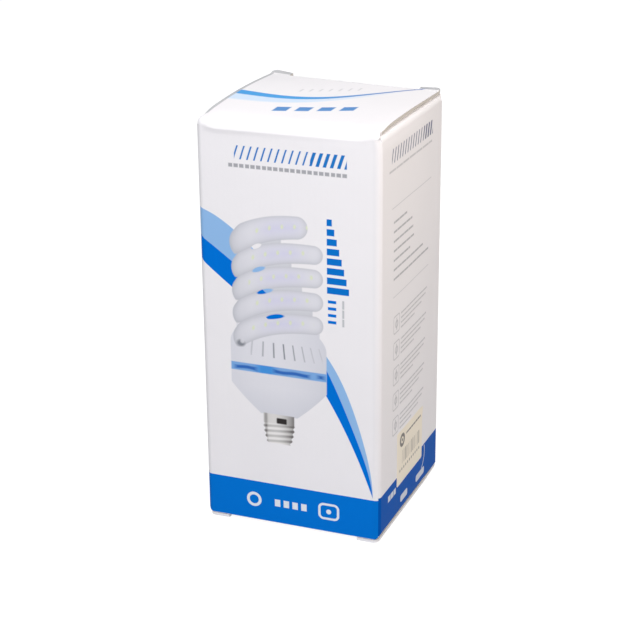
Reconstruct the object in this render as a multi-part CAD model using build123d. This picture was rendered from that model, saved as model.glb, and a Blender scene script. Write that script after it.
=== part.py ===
from build123d import *
import math
import os

# A printed folding carton for a lamp, shut at both ends by tuck-in lids.
# Millimetres. The carton stands on Z = 0, its front panel faces -Y and its right panel +X.

# Outside sizes and the board
width = 92.0              # left to right
depth = 92.0              # front to back
height = 206.0            # with both lids shut
board = 1.5               # thickness of the folding board
corner_radius = 3.0       # outside of the upright folds
fold_radius = 3.5         # outside of the folds along the top and bottom edges
swing_gap = 0.3           # room between a lid and the board it shuts against

# Glued seam at the back left upright edge
glue_flap_width = 16.0
glue_flap_taper = 8.0     # how far each end of the glue flap slopes back
glue_flap_setback = 6.0   # from the ends of the panel to the root of the glue flap
glue_line = 0.15          # thickness of the line of glue
glue_width = 10.0
seam_setback = 0.3        # the free edge of the left panel stops short of the back face

# Dust flaps, one on each side panel at each end
dust_length = 38.0        # from the side face to the tip
dust_hinge_inset = 3.4    # edge beside the lid's own fold, from the outside of the carton
dust_lock_inset = 5.4     # edge beside the tuck flap, from the outside of the carton
dust_taper = 9.0          # how far the hinge side edge slopes in towards the tip
dust_lock_length = 12.0   # straight lock edge, from the side face
dust_lock_step = 3.5      # notch behind the lock edge
dust_chamfer = 8.0        # sloped corner at the tip on the lock side
dust_tip_radius = 6.0
dust_small_radius = 2.0

# Lid with its tuck flap
lid_inset = 2.0           # lid's side edge, from the side face of the carton
tuck_radius = 3.0         # outside of the fold into the tuck flap
tuck_setback = 2.0        # outside of that fold, from the outside of the carton
tuck_lean = 8.0           # degrees that the tuck flap leans inwards
tuck_length = 18.0        # flat part of the tuck flap
tuck_inset = 4.0          # side edge of the tuck flap, from the side face
tuck_tip_radius = 12.0
tuck_shoulder_radius = 2.0
ear_width = 9.7           # flat ear at each end of the fold, beyond the lock slit
ear_radius = 2.0
lock_slit = 0.6           # width of the lock slit
hinge_offset = 0.5        # hinge line, outside the middle of the rounded fold

# Paper sticker on the right panel
sticker_width = 39.0
sticker_height = 29.0
sticker_thickness = 0.12
sticker_radius = 1.0
sticker_middle_y = -1.2
sticker_middle_z = 33.2

# Levels and lines worked out from those
half_width = width / 2
half_depth = depth / 2
flat_x = half_width - corner_radius       # flat part of a panel, from the middle
flat_y = half_depth - corner_radius
under_lid = height - board - swing_gap    # top of the dust flaps and of the cut back edge
corner_top = under_lid - 2 * swing_gap
side_fold_z = under_lid - fold_radius     # where the side panels start to bend
side_fold_x = half_width - fold_radius
lid_half_width = half_width - lid_inset
tuck_half_width = half_width - tuck_inset
tuck_fold_half_width = lid_half_width - ear_width - lock_slit
hinge_centre_y = -half_depth + fold_radius
hinge_centre_z = height - fold_radius
tuck_centre_y = half_depth - tuck_setback - tuck_radius
tuck_centre_z = height - tuck_radius


# The bottom end is the top end given half a turn about X through the middle of the carton.
def at_bottom(shape):
    return Pos(0, 0, height / 2) * Rot(180, 0, 0) * Pos(0, 0, -height / 2) * shape


# A solid box between two corners.
def block(low, high):
    size = [b - a for a, b in zip(low, high)]
    middle = [(a + b) / 2 for a, b in zip(low, high)]
    return Pos(*middle) * Box(*size)


# Section of a bent strip of board: a ring sector between two angles, in degrees.
def bend_sector(radius, start, end):
    reach = 3 * radius
    middle = (start + end) / 2
    rays = [(0, 0)]
    rays += [
        (reach * math.cos(math.radians(a)), reach * math.sin(math.radians(a)))
        for a in (start, middle, end)
    ]
    ring = Circle(radius) - Circle(radius - board)
    return ring & make_face(Polyline(*rays, close=True))


# A section drawn across Y and Z, carried along X between two places.
def along_x(section, left, right):
    return Pos(left, 0, 0) * extrude(Plane.YZ * section, amount=right - left)


# A section drawn across X and Z, carried along Y between two places.
def along_y(section, front, back):
    return Pos(0, back, 0) * extrude(Plane.XZ * section, amount=back - front)


# Plan of the four panels: three rounded corners, and the lapped seam at the back left.
def panel_section():
    ring = RectangleRounded(width, depth, corner_radius)
    ring -= RectangleRounded(width - 2 * board, depth - 2 * board, corner_radius - board)
    fold_x = -half_width + board + glue_line + corner_radius
    ring -= Pos(fold_x, flat_y) * Rectangle(width, depth, align=(Align.MAX, Align.MIN))
    ring += Pos(fold_x, flat_y) * bend_sector(corner_radius, 90, 180)
    free_end = Rectangle(board, corner_radius - seam_setback, align=(Align.MIN, Align.MIN))
    return ring + Pos(-half_width, flat_y) * free_end


# Rounded top of an upright fold, where it dies into the folds of the front and side panels.
def corner_cap(front):
    side_section = Pos(0, side_fold_z) * Rectangle(width, 2 * fold_radius)
    side_section = fillet(side_section.vertices().group_by(Axis.Y)[-1], fold_radius)
    cap = along_y(side_section, -half_depth, half_depth)
    cap &= block((-width, -depth, 0), (width, depth, corner_top if front else under_lid))
    if front:
        top_section = Pos(-half_depth, hinge_centre_z) * Rectangle(
            depth, 2 * fold_radius, align=(Align.MIN, Align.CENTER))
        fold_corner = top_section.vertices().group_by(Axis.X)[0].sort_by(Axis.Y)[-1]
        cap &= along_x(fillet(fold_corner, fold_radius), -half_width, half_width)
    return cap


# What one end of the panels loses above its folds and its cut edges.
def end_trim():
    beyond = 5.0
    top = height + beyond
    trims = [block((-flat_x, -half_depth - beyond, hinge_centre_z), (flat_x, -flat_y, top))]
    for side in (-1, 1):
        low, high = sorted((side * flat_x, side * (half_width + beyond)))
        trims.append(block((low, -flat_y, side_fold_z), (high, flat_y, top)))
        front = block((low, -half_depth - beyond, side_fold_z), (high, -flat_y, top))
        back = block((low, flat_y, side_fold_z), (high, half_depth + beyond, top))
        trims += [front - corner_cap(front=True), back - corner_cap(front=False)]
    return trims


# Glue flap: a tapered strip inside the left panel, with the band of glue that holds it.
def glue_flap():
    outer_x = -half_width + board + glue_line
    tip_y = flat_y - glue_flap_width
    upper = side_fold_z - glue_flap_setback
    lower = height - upper
    tip_upper, tip_lower = upper - glue_flap_taper, lower + glue_flap_taper
    outline = make_face(Polyline(
        (flat_y, lower), (flat_y, upper), (tip_y, tip_upper), (tip_y, tip_lower), close=True))
    flap = along_x(outline, outer_x, outer_x + board)
    middle_y = (flat_y + tip_y) / 2
    glue = block((outer_x - glue_line, middle_y - glue_width / 2, tip_lower),
                 (outer_x, middle_y + glue_width / 2, tip_upper))
    return flap + glue


# Half of the rounded hinge fold: the lower half is the front panel's, the upper half the lid's.
def hinge_fold(start, end, reach):
    sector = Pos(hinge_centre_y, hinge_centre_z) * bend_sector(fold_radius, start, end)
    cut = Pos(hinge_centre_y, hinge_centre_z) * Rot(0, 0, 135)
    cut *= Rectangle(4 * fold_radius, swing_gap)
    return along_x(sector - cut, -reach, reach)


# A prism with its upright edges rounded at some places of its plan.
def rounded_at(prism, places, radius):
    edges = prism.edges().filter_by(Axis.Z)
    return fillet(edges.filter_by(
        lambda e: min(math.dist(tuple(e.center())[:2], p) for p in places) < 0.01), radius)


# Right dust flap: the side panel's fold, the flat flap and its die-cut outline.
def dust_flap():
    tip_x = half_width - dust_length
    profile = Pos(side_fold_x, side_fold_z) * bend_sector(fold_radius, 0, 90)
    strip = Rectangle(side_fold_x - tip_x, board, align=(Align.MIN, Align.MAX))
    profile += Pos(tip_x, under_lid) * strip
    flap = along_y(profile, -half_depth, half_depth)

    hinge_y = -half_depth + dust_hinge_inset
    lock_y = half_depth - dust_lock_inset
    step_y = lock_y - dust_lock_step
    root_x = half_width + board
    lock_x = half_width - dust_lock_length
    corners = [
        (root_x, hinge_y), (side_fold_x, hinge_y), (tip_x, hinge_y + dust_taper),
        (tip_x, step_y - dust_chamfer), (tip_x + dust_chamfer, step_y),
        (lock_x - dust_lock_step, step_y), (lock_x, lock_y), (side_fold_x, lock_y),
        (side_fold_x, -hinge_y), (root_x, -hinge_y),
    ]
    outline = extrude(make_face(Polyline(*corners, close=True)), amount=height)
    outline = rounded_at(outline, corners[2:3], dust_tip_radius)
    outline = rounded_at(outline, corners[3:7], dust_small_radius)
    return flap & outline


# The four panels, the glue flap and the four dust flaps: one folded and glued sheet.
def carton():
    base = height - under_lid
    sheet = Pos(0, 0, base) * extrude(panel_section(), amount=under_lid - base)
    for trim in end_trim():
        sheet -= trim
        sheet -= at_bottom(trim)
    right_flap = dust_flap()
    left_flap = mirror(right_flap, about=Plane.YZ)
    for part in (hinge_fold(135, 180, flat_x), right_flap, left_flap):
        sheet += part
        sheet += at_bottom(part)
    return sheet + glue_flap()


# Flat of the lid with its two ears; the ears lie over the cut edge of the panel behind.
def lid_panel():
    span = half_depth - hinge_centre_y
    plan = Pos(0, hinge_centre_y) * Rectangle(2 * lid_half_width, span, align=(Align.CENTER, Align.MIN))
    notch = Rectangle(2 * (tuck_fold_half_width + lock_slit), half_depth, align=(Align.CENTER, Align.MIN))
    plan -= Pos(0, tuck_centre_y) * notch
    corners = plan.vertices().filter_by(
        lambda v: abs(abs(v.X) - lid_half_width) < 0.01 and v.Y > tuck_centre_y)
    return Pos(0, 0, height - board) * extrude(fillet(corners, ear_radius), amount=board)


# Fold into the tuck flap, between the lock slits.
def tuck_fold():
    sector = Pos(tuck_centre_y, tuck_centre_z) * bend_sector(tuck_radius, -tuck_lean, 90)
    return along_x(sector, -tuck_fold_half_width, tuck_fold_half_width)


# Tuck flap: it leans inwards, and its shoulders stand free of the ears.
def tuck_flap():
    outline = Rectangle(2 * tuck_half_width, tuck_length)
    tip = outline.vertices().filter_by(lambda v: v.Y < 0)
    outline = fillet(tip, tuck_tip_radius)
    shoulders = outline.vertices().filter_by(lambda v: v.Y > tuck_length / 2 - 0.01)
    outline = fillet(shoulders, tuck_shoulder_radius)
    lean = math.radians(tuck_lean)
    root = (0, tuck_centre_y + tuck_radius * math.cos(lean), tuck_centre_z - tuck_radius * math.sin(lean))
    outward = (0, math.cos(lean), -math.sin(lean))
    face = Plane(origin=root, x_dir=(-1, 0, 0), z_dir=outward)
    return extrude(face * Pos(0, -tuck_length / 2) * outline, amount=-board)


# The lid that swings: rounded hinge fold, panel with ears, fold and tuck flap.
def lid():
    return hinge_fold(90, 135, lid_half_width) + lid_panel() + tuck_fold() + tuck_flap()


# Plain paper sticker, flat on the right panel.
def sticker():
    face = Plane(origin=(half_width, sticker_middle_y, sticker_middle_z), x_dir=(0, 1, 0), z_dir=(1, 0, 0))
    outline = RectangleRounded(sticker_width, sticker_height, sticker_radius)
    return extrude(face * outline, amount=sticker_thickness)


os.makedirs("parts", exist_ok=True)
top = lid()
nodes = {
    "carton": carton(),
    "top_lid": top,
    "bottom_lid": at_bottom(top),
    "side_sticker": sticker(),
}
for name, shape in nodes.items():
    shape.label = name
    export_step(shape, f"parts/{name}.step")
    print(name, round(shape.volume / 1000, 2), "cm3", "solids", len(shape.solids()))

# Hinge line of each lid, as Y and Z, just outside the middle of its rounded fold.
hinge_reach = (fold_radius + hinge_offset) / math.sqrt(2)
hinge_y = hinge_centre_y - hinge_reach
hinge_z = hinge_centre_z + hinge_reach
print("top hinge", round(hinge_y, 3), round(hinge_z, 3))
print("bottom hinge", round(-hinge_y, 3), round(height - hinge_z, 3))
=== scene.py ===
import math
from functools import partialmethod

import bpy
import numpy as np
from mathutils import Matrix, Vector


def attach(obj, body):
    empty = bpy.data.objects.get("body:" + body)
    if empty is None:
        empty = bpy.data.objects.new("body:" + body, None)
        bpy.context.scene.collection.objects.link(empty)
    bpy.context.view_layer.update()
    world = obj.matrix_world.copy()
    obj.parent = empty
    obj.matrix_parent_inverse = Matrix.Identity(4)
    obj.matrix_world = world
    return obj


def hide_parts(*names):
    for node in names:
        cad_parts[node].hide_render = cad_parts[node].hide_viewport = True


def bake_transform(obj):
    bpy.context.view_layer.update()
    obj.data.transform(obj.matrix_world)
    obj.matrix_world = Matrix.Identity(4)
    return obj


# A printed lamp carton: one folded sheet with a tuck-in lid at each end, and a paper sticker.
# Shapes are worked out in millimetres and put into the meshes in metres.

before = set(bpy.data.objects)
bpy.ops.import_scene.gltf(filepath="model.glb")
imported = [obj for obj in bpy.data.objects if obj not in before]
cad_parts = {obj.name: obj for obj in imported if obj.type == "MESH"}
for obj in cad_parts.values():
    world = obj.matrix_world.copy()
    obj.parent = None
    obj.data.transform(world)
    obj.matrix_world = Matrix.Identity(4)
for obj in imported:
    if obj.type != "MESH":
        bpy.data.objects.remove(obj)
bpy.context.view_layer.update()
millimetre = 0.001
scene = bpy.context.scene

# The camera, where the photographer stood.
viewpoint = {
    "place": (0.28798, -0.73148, 0.39184),
    "right": (0.93044, 0.36636, -0.00753),
    "up": (-0.12292, 0.33139, 0.93545),
    "focal": 94.057,          # on a 36 mm wide picture
}


def placeCamera(view):
    camera = bpy.data.objects.new("camera", bpy.data.cameras.new("camera"))
    right, up = Vector(view["right"]).normalized(), Vector(view["up"]).normalized()
    turned = Matrix((right, up, right.cross(up))).transposed().to_4x4()
    camera.matrix_world = Matrix.Translation(Vector(view["place"])) @ turned
    camera.data.sensor_width = 36.0
    camera.data.lens = view["focal"]
    camera.data.clip_start = 0.01
    camera.data.clip_end = 50.0
    scene.collection.objects.link(camera)
    scene.camera = camera


placeCamera(viewpoint)
print("camera placed")

# The board and its folds, as the part's source has them.
board = {
    "half": 46.0,             # outside of a panel, from the middle
    "flat": 43.0,             # end of a panel's flat part
    "pitch": 92.0,            # from one panel to the next on the unfolded sheet
    "leftMiddle": 46.0,       # middles of the four panels on the sheet
    "frontMiddle": 138.0,
    "rightMiddle": 230.0,
    "backMiddle": 322.0,
    "glueStart": 369.35,      # where the glue flap starts on the sheet
    "glueTop": 194.7,
    "sheetShift": 60.0,       # keeps places on the sheet above zero
    "printWidth": 90.0,       # the print is laid out on a panel of this width
    "height": 206.0,
    "thick": 1.5,
    "cornerRadius": 3.0,
    "foldRadius": 3.5,
    "underLid": 204.2,
    "cornerTop": 202.6,
    "sideFold": 200.7,        # where a side panel starts to bend
    "hingeFold": 202.5,       # where the front panel starts to bend
    "foldCentre": 42.5,
    "lapX": 41.35,            # where the back panel starts to fold into the glue flap
    "flapX": 44.35,
    "cornerEdge": (42.3, 41.0, 0.0),   # further out than this, a cut edge is at an upright corner
    "cornerSteps": 10,
    "foldSteps": 10,
}
shape = {
    "frontBulge": 0.25,       # how far each panel swells at its middle
    "sideBulge": 0.35,
    "beadLeft": 1.2,          # crease that stands proud along the front edge
    "beadRight": 0.6,
    "beadHeight": 203.0,
    "beadReach": 1.9,
    "creaseDrop": 1.2,        # the fold along the front is crushed down and back between its ends
    "sideLean": 0.8,          # top of the right panel, leaning in towards the front
    "lidBowLeft": 1.4,        # lid's side edges, lifted at mid length
    "lidBowRight": 0.5,
    "backLeftRise": 2.8,      # the top's back corners stand a little high
    "backRightRise": 0.3,
    "wave": 0.07,             # slow unevenness of the board
}
panelStops = np.concatenate([[-43.0, -42.6], np.linspace(-41.0, 41.0, 33), [42.6, 43.0]])


# Smooth step: 3 k^2 - 2 k^3, with k the place between low and high, held to 0..1.
def ease(value, low, high):
    k = np.clip((value - low) / (high - low), 0.0, 1.0)
    return k * k * (3.0 - 2.0 * k)


# Slow unevenness: the sum of three sine waves of different lengths and directions.
def unevenness(u, v):
    waves = [np.sin(u / 9.1 + v / 31.0), np.sin(v / 17.3 - u / 23.0), np.sin(u / 5.7 - v / 12.9)]
    return shape["wave"] * sum(waves) / 2


# Height of a round of that radius at a distance from its middle: sqrt(r^2 - d^2).
def roundAt(distance, radius):
    return np.sqrt(np.maximum(radius ** 2 - distance ** 2, 0.0))


# Swell of a panel: amplitude x sin(pi a) x sin(pi b), with a and b its place across and up the panel.
def panelSwell(across, up, amplitude):
    a = np.clip((across + board["flat"]) / (2 * board["flat"]), 0.0, 1.0)
    b = np.clip(up / board["height"], 0.0, 1.0)
    rise = np.sin(np.pi * a) * np.sin(np.pi * b)
    return amplitude * rise + unevenness(across, up) * np.minimum(1.0, 3.0 * rise)


# Proud crease: a bell curve over the distance along the sheet, lower towards the right end.
def creaseBead(x, along):
    share = ease(x, -board["half"], board["half"])
    rise = shape["beadLeft"] + (shape["beadRight"] - shape["beadLeft"]) * share
    rise = rise * ease(board["flat"] - np.abs(x), 0.0, 5.0)
    return rise * np.exp(-(((along - shape["beadHeight"]) / shape["beadReach"]) ** 2))


# Shape that the closed top has settled into, the same for every piece of it. The back corners' rises are
# shared out by (1-a) b and a b, with a and b the place from left to right and from front to back; the front
# fold moves down and back, and the right edge leans in, each by its amount times smooth steps of the place.
def settled(points):
    x, y, z = points.T
    a, b = [np.clip((points[:, i] + board["half"]) / board["pitch"], 0.0, 1.0) for i in (0, 1)]
    rise = (shape["backLeftRise"] * (1 - a) + shape["backRightRise"] * a) * b * ease(z, 90.0, 200.0)
    drop = shape["creaseDrop"] * ease(44.0 - np.abs(x), 0.0, 9.0)
    back = drop * ease(z, 199.0, 205.5) * ease(-y, 28.0, 43.0)
    rise = rise - drop * ease(-y, 33.0, 45.5) * ease(z, 190.0, 202.0)
    lean = shape["sideLean"] * ease(z, 195.5, 205.0) * ease(x, 30.0, 46.0) * ease(-y, -40.0, 20.0)
    return points + np.stack([-lean, back, rise], 1)


# Outward swell of the four walls: the face is told from its normal.
def wallSwell(x, y, z, nx, ny):
    front = panelSwell(x, z, shape["frontBulge"]) * (ny < -0.999)
    back = panelSwell(x, z, shape["frontBulge"]) * (ny > 0.999)
    side = panelSwell(y, z, shape["sideBulge"]) * (np.abs(nx) > 0.999)
    return front + back + side + creaseBead(x, z) * (ny < -0.999)


# Top of the wall at a place in plan: each fold's quarter round, and the level where the corner is cut.
def wallTop(x, y):
    ax, ay = np.abs(x), np.abs(y)
    radius, centre = board["foldRadius"], board["foldCentre"]
    sideRise, frontRise = [roundAt(np.clip(out - centre, 0.0, radius), radius) for out in (ax, ay)]
    top = np.minimum(board["sideFold"] + sideRise, board["underLid"])
    hinge = np.minimum(board["hingeFold"] + frontRise, board["cornerTop"])
    hinge = np.where((ax < board["flat"]) & (y < 0), board["hingeFold"], hinge)
    return np.where(y < 0, np.minimum(top, hinge), top)


# One column of the wall per row of this table: x, y, normal x, normal y, place on the unfolded sheet.
def wallColumns():
    flat, half, radius = board["flat"], board["half"], board["cornerRadius"]
    steps = np.linspace(0.0, 1.0, board["cornerSteps"] + 1)[1:-1]
    freeEnd = np.array([-45.7, -45.0, -44.0])
    leftStops = np.concatenate([freeEnd, panelStops])
    backStops = np.concatenate([panelStops[panelStops < 40.0], [board["lapX"]]])

    # flat part that faces (nx, ny): its columns run along (-ny, nx)
    def straight(stops, nx, ny, middle, reach=half):
        return np.stack([reach * nx - stops * ny, reach * ny + stops * nx, nx + 0 * stops, ny + 0 * stops,
                         middle + stops], 1)

    def corner(cx, cy, start, sheet):
        angle = math.radians(start) + steps * math.pi / 2
        cos, sin = np.cos(angle), np.sin(angle)
        return np.stack([cx + radius * cos, cy + radius * sin, cos, sin, sheet + 6.0 * steps], 1)

    left = straight(leftStops, -1, 0, board["leftMiddle"])
    front = straight(panelStops, 0, -1, board["frontMiddle"])
    right = straight(panelStops, 1, 0, board["rightMiddle"])
    back = straight(backStops, 0, 1, board["backMiddle"])
    lap = corner(-board["lapX"], flat, 90.0, board["backMiddle"] + board["lapX"])
    flapStops = -np.concatenate([[flat, flat - 0.01], np.linspace(41.0, 27.0, 7)])
    flap = straight(flapStops, -1, 0, board["glueStart"] + flat, board["flapX"])
    return np.concatenate([
        left, corner(-flat, -flat, 180.0, board["leftMiddle"] + flat),
        front, corner(flat, -flat, 270.0, board["frontMiddle"] + flat),
        right, corner(flat, flat, 0.0, board["rightMiddle"] + flat), back, lap, flap])


# A grid of the sheet: points, outward normals and places on the unfolded sheet, rows by columns.
def makeGrid(x, y, z, nx, ny, nz, u, v, finish):
    x, y, z, nx, ny, nz, u, v = np.broadcast_arrays(x, y, z, nx, ny, nz, u, v)
    return {"points": np.stack([x, y, z], -1).astype(float),
            "normals": np.stack([nx, ny, nz], -1).astype(float),
            "sheet": np.stack([u, v], -1).astype(float),
            "finish": np.broadcast_to(finish, (x.shape[0] - 1, x.shape[1] - 1))}


# Blocks of rows above each other, each spread over the same number of columns.
def rowsOf(columns, *blocks):
    return np.concatenate([np.broadcast_to(block, (block.shape[0], columns)) for block in blocks])


# The four walls and the glue flap: each column runs straight from its lower to its upper level.
def wallGrid():
    x, y, nx, ny, u = wallColumns().T
    top = wallTop(x, y)
    bottom = board["height"] - wallTop(x, -y)
    onFlap = u > board["glueStart"] + 0.002
    slope = np.clip((board["flat"] - y) / 16.0, 0.0, 1.0) * 8.0
    top = np.where(onFlap, board["glueTop"] - slope, top)
    bottom = np.where(onFlap, board["height"] - board["glueTop"] + slope, bottom)
    share = np.concatenate([np.linspace(0, 0.05, 8)[:-1], np.linspace(0.05, 0.95, 37)[:-1],
                            np.linspace(0.95, 1, 12)])
    z = bottom + share[:, None] * (top - bottom)
    swell = wallSwell(x[None, :], y[None, :], z, nx[None, :], ny[None, :])
    swell = swell * (u < board["backMiddle"] + board["lapX"] - 0.05)
    finish = np.where(u[:-1] % (2 * board["pitch"]) < board["pitch"], 1, 0)
    return makeGrid(x + swell * nx, y + swell * ny, z, nx, ny, 0.0, u, z, finish[None, :])


# Outline of the right dust flap in plan, from its hinge side and from its lock side to its tip.
dustFlap = {
    "rootHalf": 43.0,
    "tipX": 8.0,
    "hingeSide": [(42.5, -42.6), (8.0, -33.6), (8.0, -20.0)],
    "hingeRadii": [0, 6.0, 0],
    "lockSide": [(42.5, 40.6), (34.0, 40.6), (30.5, 37.1), (16.0, 37.1), (8.0, 29.1), (8.0, 20.0)],
    "lockRadii": [0, 2.0, 2.0, 2.0, 2.0, 0],
    "sag": 0.25,
}


# Rounds the corners of an open line: each corner becomes the arc of its radius that touches both runs.
def roundedLine(points, radii, steps=6):
    points = np.array(points, float)
    out = [points[:1]]
    for before, here, after, radius in zip(points, points[1:], points[2:], radii[1:]):
        if radius <= 0:
            out.append(here[None])
            continue
        a, b = before - here, after - here
        a, b = a / np.linalg.norm(a), b / np.linalg.norm(b)
        half = math.acos(np.clip(a @ b, -1, 1)) / 2
        reach = radius / math.tan(half)
        centre = here + (a + b) / np.linalg.norm(a + b) * radius / math.sin(half)
        start, end = here + a * reach - centre, here + b * reach - centre
        k = np.linspace(0, 1, steps)[:, None]
        sweep = 2 * (math.pi / 2 - half)
        arc = (np.sin((1 - k) * sweep) * start + np.sin(k * sweep) * end) / math.sin(sweep)
        out.append(centre + arc)
    out.append(points[-1:])
    return np.concatenate(out)


# Right dust flap at the top: a quarter round from the side panel, then a flat with a die-cut outline.
def dustGrid(flap):
    radius, centre, base = board["foldRadius"], board["foldCentre"], board["sideFold"]
    inner = panelStops[np.abs(panelStops) <= flap["rootHalf"]]
    across = (inner + flap["rootHalf"]) / (2 * flap["rootHalf"])
    angle = np.linspace(0, math.pi / 2, board["foldSteps"] + 1)[:, None]
    hingeLine = roundedLine(flap["hingeSide"], flap["hingeRadii"], 8)[:-1]
    lockLine = roundedLine(flap["lockSide"], flap["lockRadii"], 5)[:-1]
    stops = np.concatenate([hingeLine[:, 0], lockLine[:, 0], np.linspace(centre - 1.5, flap["tipX"] + 2, 16)])
    stops = np.unique(np.round(stops, 3))[::-1]
    stops = stops[(stops > flap["tipX"]) & (stops < centre - 0.01)]
    stops = np.concatenate([[centre - 0.01], stops, [flap["tipX"]]])
    hingeY = np.interp(stops, hingeLine[::-1, 0], hingeLine[::-1, 1])
    lockY = np.interp(stops, lockLine[::-1, 0], lockLine[::-1, 1])
    y = hingeY[:, None] + across * (lockY - hingeY)[:, None]
    sag = flap["sag"] * ease(centre - stops, 0.0, centre - flap["tipX"])[:, None]
    x = rowsOf(len(inner), centre + radius * np.cos(angle), stops[:, None])
    z = rowsOf(len(inner), base + radius * np.sin(angle), board["underLid"] - sag)
    y = rowsOf(len(inner), inner + 0.0 * angle, y)
    nx = rowsOf(1, np.cos(angle), np.zeros((len(stops), 1)))
    nz = rowsOf(1, np.sin(angle), np.ones((len(stops), 1)))
    v = np.concatenate([base + radius * angle, base + radius * math.pi / 2 + centre - stops[:, None]])
    return makeGrid(x, y, z, nx, 0.0, nz, board["rightMiddle"] + y, v, 1)


# A grid with the signs of its coordinates changed, then shifted, and the same for its place on the sheet.
def turned(grid, signs, shift, sheetSigns, sheetShift):
    return {"points": grid["points"] * signs + shift, "normals": grid["normals"] * signs,
            "sheet": grid["sheet"] * sheetSigns + sheetShift, "finish": grid["finish"]}


# Mirror image across the middle, with its columns turned round so that it still faces outwards.
def mirrored(grid):
    grid = {part: values[:, ::-1] for part, values in grid.items()}
    return turned(grid, [-1.0, 1.0, 1.0], 0.0, [-1, 1], [3 * board["pitch"], 0.0])


# The bottom end is the top end given half a turn about the x axis at mid height.
def atBottom(grid):
    height = board["height"]
    return turned(grid, [1.0, -1.0, -1.0], [0, 0, height], [-1, -1], [5 * board["pitch"], height])


# Joins grids into one sheet and gives it its thickness: inner point = outer point - thickness x normal,
# and a strip of faces closes every free edge. The last finishes are the inside, the cut edge, and the edge
# at the upright corners, where the liner is pulled over it.
def thickSheet(name, grids, thick, finishes, insideFinish, edgeFinish, cornerFinish):
    points, normals, sheets = [np.concatenate([grid[part].reshape(-1, size) for grid in grids])
                               for part, size in (("points", 3), ("normals", 3), ("sheet", 2))]
    finish = np.concatenate([grid["finish"].reshape(-1) for grid in grids])
    quads, offset = [], 0
    for grid in grids:
        rows, columns = grid["points"].shape[:2]
        index = offset + np.arange(rows * columns).reshape(rows, columns)
        corners = [index[:-1, :-1], index[:-1, 1:], index[1:, 1:], index[1:, :-1]]
        quads.append(np.stack(corners, -1).reshape(-1, 4))
        offset += rows * columns
    quads = np.concatenate(quads)
    key = np.round((points + 0.000371) / 0.002).astype(np.int64)    # points within 0.002 mm are one
    first, weld = np.unique(key, axis=0, return_index=True, return_inverse=True)[1:]
    weld = weld.reshape(-1)
    sheetOf = sheets[quads]                                   # each face keeps its own place on the sheet
    quads = weld[quads]
    outer, facing = settled(points[first]), normals[first]
    facing = facing / np.linalg.norm(facing, axis=1)[:, None]
    count = len(outer)
    ends = np.stack([quads, np.roll(quads, -1, 1)], -1).reshape(-1, 2)
    edgeSheet = np.stack([sheetOf, np.roll(sheetOf, -1, 1)], 2).reshape(-1, 2, 2)
    forward = ends[:, 0] * count + ends[:, 1]
    free = ~np.isin(forward, ends[:, 1] * count + ends[:, 0])
    a, b = ends[free].T
    rim = np.stack([b, a, a + count, b + count], 1)
    rimSheet = edgeSheet[free][:, [1, 0, 0, 1]]
    vertices = np.concatenate([outer, outer - thick * facing]) * millimetre
    faces = np.concatenate([quads, quads[:, ::-1] + count, rim])
    sheet = np.concatenate([sheetOf, sheetOf[:, ::-1], rimSheet])
    corner = (np.abs(points[first][a]) > np.array(board["cornerEdge"])).all(1)
    rimFinish = np.where(corner, cornerFinish, edgeFinish)
    slots = np.concatenate([finish, np.full(len(quads), insideFinish), rimFinish])
    return meshPiece(name, vertices, faces, sheet, slots, finishes)


# Puts vertices, faces, the place on the sheet and the finishes into a new object at the origin.
def meshPiece(name, vertices, faces, sheet, slots, finishes):
    mesh = bpy.data.meshes.new(name)
    mesh.from_pydata(vertices, [], faces.tolist())
    layer = mesh.uv_layers.new(name="sheet")
    corners = np.zeros(len(mesh.loops) * 2, np.float32)
    corners[:] = ((sheet.reshape(-1, 2) + [0.0, board["sheetShift"]]) * millimetre).astype(np.float32).ravel()
    layer.data.foreach_set("uv", corners)
    for finish in finishes:
        mesh.materials.append(finish)
    mesh.polygons.foreach_set("material_index", slots.astype(np.int32))
    mesh.polygons.foreach_set("use_smooth", np.ones(len(faces), bool))
    mesh.set_sharp_from_angle(angle=math.radians(35.0))
    mesh.update()
    piece = bpy.data.objects.new(name, mesh)
    scene.collection.objects.link(piece)
    return piece


# The lid: rounded fold, flat panel with an ear at each side, fold and tuck flap.
lidBoard = {
    "half": 43.0 + 3.0 * math.cos(math.radians(50.0)),
    "edgeTurn": 50.0,         # how much of the corner's round the side edge keeps, in degrees from level
    "slitInner": 33.7,
    "slitOuter": 34.3,
    "tuckCentre": (41.0, 203.0),
    "tuckRadius": 3.0,
    "lean": 8.0,
    "tuckLength": 18.0,
    "tuckHalf": 42.0,
    "tipRadius": 12.0,
    "shoulderRadius": 2.0,
    "earEnd": 46.0,
    "earRadius": 3.0,
    "earRise": (0.9, 0.5),    # how far the left and the right ear stand up at their outer ends
}


# Lift of the lid's flat: sin(pi a), with a the place from front to back, times a bow that grows to each side.
def lidLift(x, y):
    centre = board["foldCentre"]
    along = np.clip((y + centre) / (lidBoard["tuckCentre"][0] + centre), 0.0, 1.0)
    bow = shape["lidBowRight"] * (0.2 + 0.8 * ease(x, 5.0, 44.0)) + shape["lidBowLeft"] * ease(-x, -5.0, 44.0)
    return np.sin(np.pi * along) * bow * ease(y, -centre, -31.0)


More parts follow.
